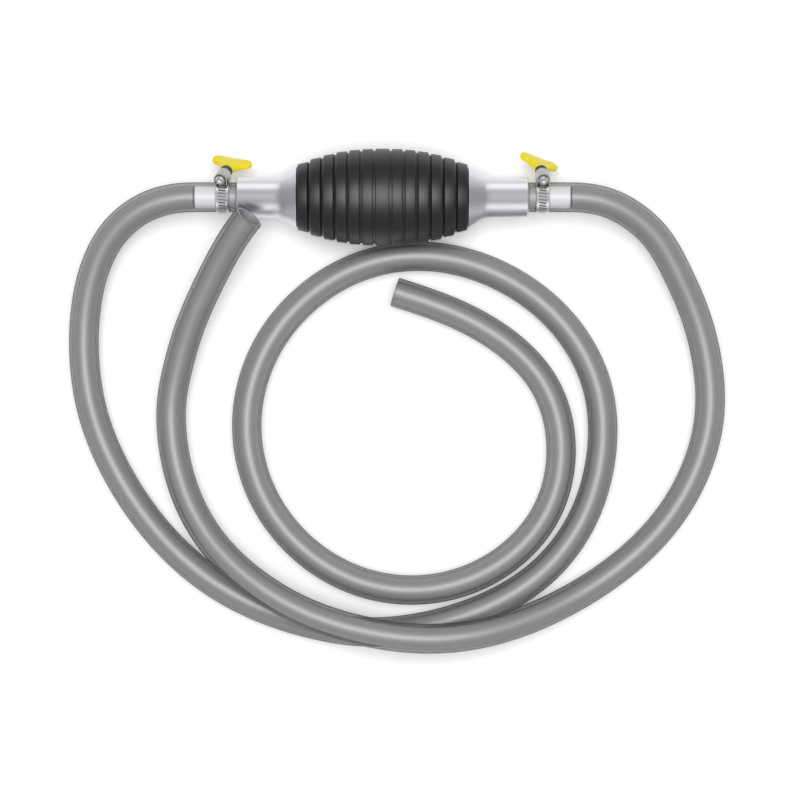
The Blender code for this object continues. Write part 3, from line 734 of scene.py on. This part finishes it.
def build_spigot(end, side):
    """The white hose tube with a small lip at its tip, its flange inside the metal end, and its seal ring."""
    low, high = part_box(f"{end}_spigot")
    start, tip = sorted((abs(low.x), abs(high.x)))
    flange = high.z - AXIS_HEIGHT
    outline = [
        (start, flange),
        (start + SPIGOT_FLANGE, flange),
        (start + SPIGOT_FLANGE, SPIGOT_RADIUS),
        (tip, SPIGOT_RADIUS),
        (tip, SPIGOT_BORE),
        (start, SPIGOT_BORE),
    ]
    reach = np.array((0.2, 0.2, 0.2, 0.7, 0.3, 0.3)) * MM
    tube = turned(f"{end}_hose_tail", mirrored(rounded(outline, reach), side), MATERIALS["white_plastic"])
    stands_for(tube, f"{end}_spigot", "pump")

    low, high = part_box(f"{end}_o_ring")
    wire = (high.x - low.x) / 2
    ring = circle(wire, 20) + ((low.x + high.x) / 2, high.z - AXIS_HEIGHT - wire)
    seal = turned(f"{end}_seal_ring", ring, MATERIALS["nitrile"], sides=72)
    stands_for(seal, f"{end}_o_ring", "pump")


def build_valve(end, side):
    """Body, seat, ball, spring and stop of one valve, each in the place of its CAD node."""
    low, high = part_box(f"{end}_valve_body")
    near, far = sorted((abs(low.x), abs(high.x)))
    skirt = high.z - AXIS_HEIGHT
    body_outer = FITTING_RADIUS - FITTING_WALL - VALVE_CLEARANCE
    shoulder = NECK_END + NECK_CLEARANCE
    outline = [
        (near, skirt),
        (shoulder, body_outer - VALVE_STEP),
        (shoulder, body_outer),
        (far, body_outer),
        (far, VALVE_BORE),
        (near, VALVE_BORE),
    ]
    body = turned(
        f"{end}_valve_cage", mirrored(rounded(outline, 0.25 * MM), side), MATERIALS["grey_plastic"], sides=72
    )
    stands_for(body, f"{end}_valve_body", "pump")

    low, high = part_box(f"{end}_valve_seat")
    outer = high.z - AXIS_HEIGHT
    outline = [
        (low.x, outer),
        (high.x, outer),
        (high.x, SEAT_MOUTH),
        (high.x - (high.x - low.x) / 3, SEAT_HOLE),
        (low.x, SEAT_HOLE),
    ]
    seat = turned(f"{end}_valve_cup", rounded(outline, 0.2 * MM), MATERIALS["nitrile"], sides=72)
    stands_for(seat, f"{end}_valve_seat", "pump")

    low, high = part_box(f"{end}_valve_ball")
    radius = (high.x - low.x) / 2
    half_circle = np.linspace(pi, 0.0, 33)
    outline = np.stack([low.x + radius + radius * np.cos(half_circle), radius * np.sin(half_circle)], axis=1)
    ball = turned(f"{end}_check_ball", outline, MATERIALS["polished_steel"], sides=64, closed=False)
    stands_for(ball, f"{end}_valve_ball", f"{end}_ball")

    low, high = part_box(f"{end}_valve_spring")
    turn = np.linspace(0.0, tau * SPRING_TURNS, round(SPRING_TURNS * 36))
    coil = high.z - AXIS_HEIGHT - SPRING_WIRE / 2
    wire = SPRING_WIRE / 2
    x = np.linspace(low.x + wire, high.x - wire, len(turn))
    path = np.stack([x, coil * np.cos(turn), AXIS_HEIGHT + coil * np.sin(turn)], axis=1)
    outward = np.stack([np.zeros_like(turn), np.cos(turn), np.sin(turn)], axis=1)
    tangent = np.gradient(path, axis=0)
    tangent /= np.linalg.norm(tangent, axis=1, keepdims=True)
    spring = swept(
        f"{end}_return_spring", path, tangent, outward, circle(wire, 12), MATERIALS["polished_steel"]
    )
    stands_for(spring, f"{end}_valve_spring", "pump")
    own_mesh(spring)

    stop = frame["nodes"][f"{end}_valve_stop"]
    stop.data.materials.clear()
    stop.data.materials.append(MATERIALS["grey_plastic"])


# Hoses -------------------------------------------------------------------------------------------------


def smooth_route(points, side):
    """Cubic spline through the points, by chord length. It leaves its first point along X, towards this
    side."""
    at = np.concatenate(([0.0], np.cumsum(np.linalg.norm(np.diff(points, axis=0), axis=1))))
    gaps = np.diff(at)
    slopes = np.diff(points, axis=0) / gaps[:, None]
    inner = np.arange(1, len(points) - 1)
    matrix = np.eye(len(points))
    matrix[inner, inner - 1] = gaps[:-1]
    matrix[inner, inner] = 2 * (gaps[:-1] + gaps[1:])
    matrix[inner, inner + 1] = gaps[1:]
    matrix[0, :2] = 2 * gaps[0], gaps[0]
    right = np.zeros_like(points)
    right[1:-1] = 6 * np.diff(slopes, axis=0)
    right[0] = 6 * (slopes[0] - (side, 0.0, 0.0))
    bend = np.linalg.solve(matrix, right)
    gap = gaps[:, None, None]
    t = np.linspace(0.0, 1.0, 40, endpoint=False)[None, :, None] * gap
    here, following = bend[:-1, None], bend[1:, None]
    fine = (
        points[:-1, None]
        + t * (slopes[:, None] - gap * (2 * here + following) / 6)
        + t**2 * here / 2
        + t**3 * (following - here) / (6 * gap)
    )
    return np.concatenate([fine.reshape(-1, 3), points[-1:]])


def even_run(path, step):
    """The path read at even steps, with one more ring just inside each end. Returns (points, distances)."""
    run = np.concatenate(([0.0], np.cumsum(np.linalg.norm(np.diff(path, axis=0), axis=1))))
    places = np.linspace(0.0, run[-1], round(run[-1] / step) + 1)
    places = np.sort(np.concatenate([places, (HOSE_LIP, run[-1] - HOSE_LIP)]))
    return np.stack([np.interp(places, run, path[:, k]) for k in range(3)], axis=1), places


def build_hose(name, route, end, side, node):
    """A hollow hose: circles of the outside radius along the path, then circles of the bore's radius back,
    joined at both cut ends with a softened lip, and pinched a little under the clamp's band."""
    low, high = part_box(f"{end}_hose_cuff")
    start = min(abs(low.x), abs(high.x))
    straight = np.linspace(start, abs(route[0][0]), 12, endpoint=False)
    on_spigot = np.stack([side * straight, 0 * straight, 0 * straight + AXIS_HEIGHT], axis=1)
    path, run = even_run(np.concatenate([on_spigot, smooth_route(np.array(route), side)]), HOSE_RING_STEP)
    low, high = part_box(f"{end}_clamp_band")
    from_band = np.abs(run - (abs(low.x + high.x) / 2 - start)) / (BAND_WIDTH / 2)
    pinch = HOSE_PINCH / (1 + from_band**8)
    outer = HOSE_RADIUS - pinch
    inner = np.full(len(run), HOSE_BORE)
    at_end = [0, -1]
    outer[at_end] -= HOSE_LIP
    inner[at_end] += HOSE_LIP
    tangent = np.gradient(path, run, axis=0)
    tangent /= np.linalg.norm(tangent, axis=1, keepdims=True)
    across = np.cross(tangent, (0.0, 0.0, 1.0))
    across /= np.linalg.norm(across, axis=1, keepdims=True)
    up = np.cross(across, tangent)
    there_and_back = np.concatenate([np.arange(len(run)), np.arange(len(run))[::-1]])
    radius = np.concatenate([outer, inner[::-1]])
    ring = circle(1.0, HOSE_SIDES)
    spread = ring[None, :, :1] * across[there_and_back, None] + ring[None, :, 1:] * up[there_and_back, None]
    points = path[there_and_back, None] + radius[:, None, None] * spread
    hose = surface(name, points, MATERIALS["clear_wall"], wrap=(True, True), along=run[there_and_back])
    hose.data.materials.append(MATERIALS["cloudy_bore"])
    in_bore = np.arange(len(hose.data.polygons)) // HOSE_SIDES >= len(run) - 1
    hose.data.polygons.foreach_set("material_index", in_bore.astype(np.int32))
    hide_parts(node, f"{end}_hose_cuff")
    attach(hose, "pump")


# Clamps ------------------------------------------------------------------------------------------------


def screw_place(end):
    """Matrix of the clamp's screw, from its joint: Z along the screw towards its tip, X across the band."""
    joint = next(joint for joint in frame["joints"] if joint["name"] == f"{end}_screw_turn")
    along = Vector(joint["axis"]).normalized()
    across = (Vector((1, 0, 0)) - along * along.x).normalized()
    up = along.cross(across)
    turn = Matrix((across, up, along)).transposed()
    return Matrix.Translation(joint["pos_m"]) @ turn.to_4x4()


def build_band(end):
    """Slotted strap: a ring of points at angle a and distance x across it. Half of each pitch is a slot,
    whose ends are rounded by drawing in its corners, and the slots lean with the thread. The wall is added
    inwards."""
    low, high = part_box(f"{end}_clamp_band")
    centre = (low.x + high.x) / 2
    count = BAND_SLOTS * BAND_STEPS_PER_SLOT
    half = BAND_SLOT_LENGTH / 2
    beyond = np.array((half, half + BAND_SLOT_MARGIN, BAND_WIDTH / 2))
    rows = np.concatenate([-beyond[::-1], (-half / 2, 0.0, half / 2), beyond])
    turn = np.arange(count) * tau / count
    phase = np.arange(count) % BAND_STEPS_PER_SLOT
    at_side = np.isin(phase, (0, BAND_STEPS_PER_SLOT // 2))[:, None]
    at_end = np.isclose(np.abs(rows), half)[None, :]
    x = np.where(at_side & at_end, rows * BAND_SLOT_CORNER, rows)
    angle = turn[:, None] + x * np.tan(BAND_SLOT_SLANT) / BAND_RADIUS
    points = np.stack(
        [centre + x, BAND_RADIUS * np.cos(angle), AXIS_HEIGHT + BAND_RADIUS * np.sin(angle)], axis=-1
    )
    cell, row = np.meshgrid(np.arange(count), np.arange(len(rows) - 1), indexing="ij")
    in_slot = (cell % BAND_STEPS_PER_SLOT < BAND_STEPS_PER_SLOT // 2) & (row >= 2) & (row < 6)
    cell, row = cell[~in_slot], row[~in_slot]
    following = (cell + 1) % count
    width = len(rows)
    near, far = cell * width + row, following * width + row
    faces = np.stack([near, near + 1, far + 1, far], axis=1)
    mesh = bpy.data.meshes.new(f"{end}_strap")
    mesh.from_pydata(points.reshape(-1, 3).tolist(), [], faces.tolist())
    mesh.flip_normals()
    mesh.shade_smooth()
    mesh.materials.append(MATERIALS["strap_steel"])
    band = bpy.data.objects.new(f"{end}_strap", mesh)
    bpy.context.scene.collection.objects.link(band)
    wall = band.modifiers.new("wall", "SOLIDIFY")
    wall.thickness = BAND_THICKNESS
    wall.offset = -1.0
    edge = band.modifiers.new("edge", "BEVEL")
    edge.width = 0.07 * MM
    edge.segments = 2
    edge.limit_method = "ANGLE"
    edge.angle_limit = radians(50.0)
    return stands_for(band, f"{end}_clamp_band", "pump")


def build_housing(end, place):
    """The arch over the screw: a rounded flat section carried up one side, over a half circle and down the
    other."""
    over = np.linspace(0.0, pi, 33)
    arch = np.stack([HOUSING_RADIUS * np.cos(over), HOUSING_RADIUS * np.sin(over), 0 * over], axis=1)
    down = np.linspace(-HOUSING_SKIRT, 0.0, 7)[:-1]
    leg = np.stack([0 * down + HOUSING_RADIUS, down, 0 * down], axis=1)
    path = np.concatenate([leg, arch, leg[::-1] * (-1, 1, 1)])
    tangent = np.gradient(path, axis=0)
    tangent /= np.linalg.norm(tangent, axis=1, keepdims=True)
    normal = np.stack([tangent[:, 1], -tangent[:, 0], 0 * tangent[:, 0]], axis=1)
    half_wall, half_length = HOUSING_WALL / 2, HOUSING_LENGTH / 2
    corners = [
        (-half_length, -half_wall),
        (half_length, -half_wall),
        (half_length, half_wall),
        (-half_length, half_wall),
    ]
    section = rounded(corners, 0.2 * MM)
    turn = np.array(place.to_3x3())
    housing = swept(
        f"{end}_screw_cover",
        moved(path, place),
        tangent @ turn.T,
        normal @ turn.T,
        section,
        MATERIALS["cover_steel"],
    )
    return stands_for(housing, f"{end}_clamp_housing", "pump")


def build_screw(end, place):
    """Worm screw along Z. Its radius at height z and angle a is the outline's radius, less a thread that
    goes as the cosine of 2 pi z / pitch - a, with flattened troughs, between the two ends of the threaded
    length."""
    low, high = SCREW_THREAD
    thread_z = np.linspace(high, low, round((high - low) / THREAD_PITCH * 12))
    tip = [
        (SCREW_TIP - DIMPLE_DEPTH, 0.0),
        (SCREW_TIP - DIMPLE_DEPTH, DIMPLE_RADIUS[0]),
        (SCREW_TIP, DIMPLE_RADIUS[1]),
        (SCREW_TIP, TIP_RADIUS),
        (high, SCREW_RADIUS - 0.05 * MM),
    ]
    head = [
        (low, SCREW_RADIUS - 0.1 * MM),
        (low, HEAD_RADIUS),
        (HEAD_GROOVE + 0.3 * MM, HEAD_RADIUS),
        (HEAD_GROOVE + 0.15 * MM, HEAD_RADIUS - HEAD_GROOVE_DEPTH),
        (HEAD_GROOVE - 0.15 * MM, HEAD_RADIUS - HEAD_GROOVE_DEPTH),
        (HEAD_GROOVE - 0.3 * MM, HEAD_RADIUS),
        (HEAD_END, HEAD_RADIUS),
        (HEAD_END, HEAD_HOLE_RADIUS),
        (-KEY_FROM_SCREW - DIMPLE_DEPTH, HEAD_HOLE_RADIUS),
        (-KEY_FROM_SCREW - DIMPLE_DEPTH, 0.0),
    ]
    outline = np.concatenate(
        [
            rounded(tip, 0.12 * MM, closed=False, steps=4),
            np.stack([thread_z, np.full(len(thread_z), SCREW_RADIUS)], axis=1),
            rounded(head, 0.12 * MM, closed=False, steps=4),
        ]
    )
    z, radius = outline[:, :1], outline[:, 1:]
    angle = np.arange(64) * tau / 64
    threaded = np.clip((z - low) / THREAD_PITCH, 0, 1) * np.clip((high - z) / THREAD_PITCH, 0, 1)
    wave = 0.5 - 0.5 * np.cos(tau * z / THREAD_PITCH - angle)
    radius = radius - THREAD_DEPTH * threaded * wave**0.8
    across, up = radius * np.cos(angle), radius * np.sin(angle)
    points = np.stack([across, up, np.broadcast_to(z, radius.shape)], axis=-1)
    screw = surface(f"{end}_worm_screw", moved(points, place), MATERIALS["screw_steel"], wrap=(False, True))
    # The head, below the threaded length, takes the near-black steel, which is painted shade
    screw.data.materials.append(MATERIALS["painted_shade_steel"])
    middle = np.empty(len(screw.data.polygons) * 3)
    screw.data.polygons.foreach_get("center", middle)
    along = moved(middle.reshape(-1, 3), place.inverted())[:, 2]
    screw.data.polygons.foreach_set("material_index", (along < low).astype(np.int32))
    stands_for(screw, f"{end}_clamp_screw", f"{end}_screw")


def build_key(end, place):
    """Wing key. At distance x along its span it has a section from its lower edge to its upper one: z goes
    as the cosine of the angle round it and y as a flattened sine, thinned in the middle of each lobe to a
    dish."""
    lobe_x, lobe_z = KEY_SPAN / 2 - KEY_LOBE_RADIUS, KEY_LOBE_RADIUS - KEY_HEIGHT
    share = np.linspace(-1.0, 1.0, 121)
    x = KEY_SPAN / 2 * np.sin(share * pi / 2)
    out = np.abs(x)
    round_end = np.sqrt(np.clip(1 - (np.clip(out - lobe_x, 0, None) / KEY_LOBE_RADIUS) ** 2, 0, 1))
    flare = np.clip((out - KEY_STEM) / (KEY_WING - KEY_STEM), 0, 1)
    shoulder = 1 - (1 - flare) ** 1.8
    top = (lobe_z + KEY_LOBE_RADIUS * round_end) * shoulder
    dip = KEY_DIP * np.exp(-((x / KEY_DIP_WIDTH) ** 2))
    bottom = lobe_z - KEY_LOBE_RADIUS * round_end + dip
    around = np.arange(48) * tau / 48
    height = np.cos(around)
    flat = np.sign(np.sin(around)) * np.abs(np.sin(around)) ** 0.55
    from_dish = (out - KEY_DISH_PLACE) / KEY_DISH_WIDTH
    dish = KEY_DISH * np.exp(-(from_dish**2))[:, None] * (1 - height**2) ** 1.5
    stem = 1.0 - 0.10 * shoulder[:, None]
    half_thickness = KEY_THICKNESS / 2 * round_end[:, None] ** 0.5
    y = half_thickness * stem * flat * (1 - dish)
    z = (top + bottom)[:, None] / 2 + (top - bottom)[:, None] / 2 * height
    points = np.stack([np.broadcast_to(x[:, None], y.shape), y, z], axis=-1)
    hang = place @ Matrix.Translation((0, 0, -KEY_FROM_SCREW)) @ Matrix.Rotation(KEY_TURN[end], 4, "Z")
    key = surface(f"{end}_wing_key", moved(points, hang), MATERIALS["yellow_plastic"], wrap=(False, True))
    stands_for(key, f"{end}_clamp_key", f"{end}_screw")


# Studio ------------------------------------------------------------------------------------------------


def build_floor():
    """A plain pale floor, far wider than the object, that glows a little."""
    mesh = bpy.data.meshes.new("floor")
    half = 6.0
    corners = [(-half, -half, 0), (half, -half, 0), (half, half, 0), (-half, half, 0)]
    mesh.from_pydata(corners, [], [(0, 1, 2, 3)])
    floor = bpy.data.objects.new("floor", mesh)
    material = finish_material(
        "pale_floor",
        ((0.96, 0.96, 0.96), (0.97, 0.97, 0.97)),
        drift_scale=1.0,
        roughness=(0.85, 0.95),
        grain_scale=30.0,
        bump=(0.0, 1.0 * MM),
        Specular_IOR_Level=0.1,
        Emission_Color=(1.0, 1.0, 1.0, 1.0),
        Emission_Strength=0.12,
    )
    mesh.materials.append(material)
    bpy.context.scene.collection.objects.link(floor)


def add_softbox(name, place, size, watts):
    """A rectangular lamp of this width and depth, aimed at the middle of the floor."""
    light = bpy.data.lights.new(name, "AREA")
    light.shape = "RECTANGLE"
    light.size, light.size_y = size
    light.energy = watts
    lamp = bpy.data.objects.new(name, light)
    lamp.location = place
    lamp.rotation_euler = (Vector() - Vector(place)).to_track_quat("-Z", "Y").to_euler()
    bpy.context.scene.collection.objects.link(lamp)
    return lamp


def linked(lamp, name, pieces, state):
    """Makes this lamp light only these pieces, or leave them out, as flags on stands do in a studio."""
    chosen = bpy.data.collections.new(name)
    for piece in pieces:
        chosen.objects.link(piece)
    lamp.light_linking.receiver_collection = chosen
    for entry in chosen.collection_objects:
        entry.light_linking.link_state = state


def build_studio(bright_metal):
    """World, lamps and camera. The bright metal has three lamps of its own and no overhead lamp."""
    scene = bpy.context.scene
    scene.view_settings.view_transform = "Standard"
    world = bpy.data.worlds.new("studio")
    scene.world = world
    world.use_nodes = True
    background = world.node_tree.nodes["Background"]
    background.inputs["Color"].default_value = (0.96, 0.97, 1.0, 1.0)
    background.inputs["Strength"].default_value = 0.34
    overhead = add_softbox("overhead", (0.0, 0.0, 1.35), (0.85, 0.85), 15.0)
    linked(overhead, "unlit_by_overhead", bright_metal, "EXCLUDE")
    for name, place, size, watts in (
        ("back", (0.0, 1.25, 0.74), (2.4, 0.95), 8.6),
        ("front", (0.0, -1.25, 0.74), (2.4, 0.95), 7.2),
        ("fill", (0.0, 0.0, 1.5), (2.0, 1.2), 2.9),
    ):
        lamp = add_softbox(name, place, size, watts)
        linked(lamp, f"lit_by_{name}", bright_metal, "INCLUDE")

    camera = bpy.data.cameras.new("camera")
    camera.lens = CAMERA_LENS
    camera.sensor_width = 36.0
    camera.clip_start = 0.01
    viewer = bpy.data.objects.new("camera", camera)
    viewer.location = CAMERA_OVER
    scene.collection.objects.link(viewer)
    scene.camera = viewer


build_floor()
build_hose("suction_tube", SUCTION_ROUTE, "inlet", -1, "suction_hose")
build_hose("discharge_tube", DISCHARGE_ROUTE, "outlet", 1, "discharge_hose")
build_bulb()
bright_metal = []
for end, side in ENDS:
    build_spigot(end, side)
    build_valve(end, side)
    screw = screw_place(end)
    build_screw(end, screw)
    build_key(end, screw)
    bright_metal += [build_metal_end(end, side), build_band(end), build_housing(end, screw)]
build_studio(bright_metal)
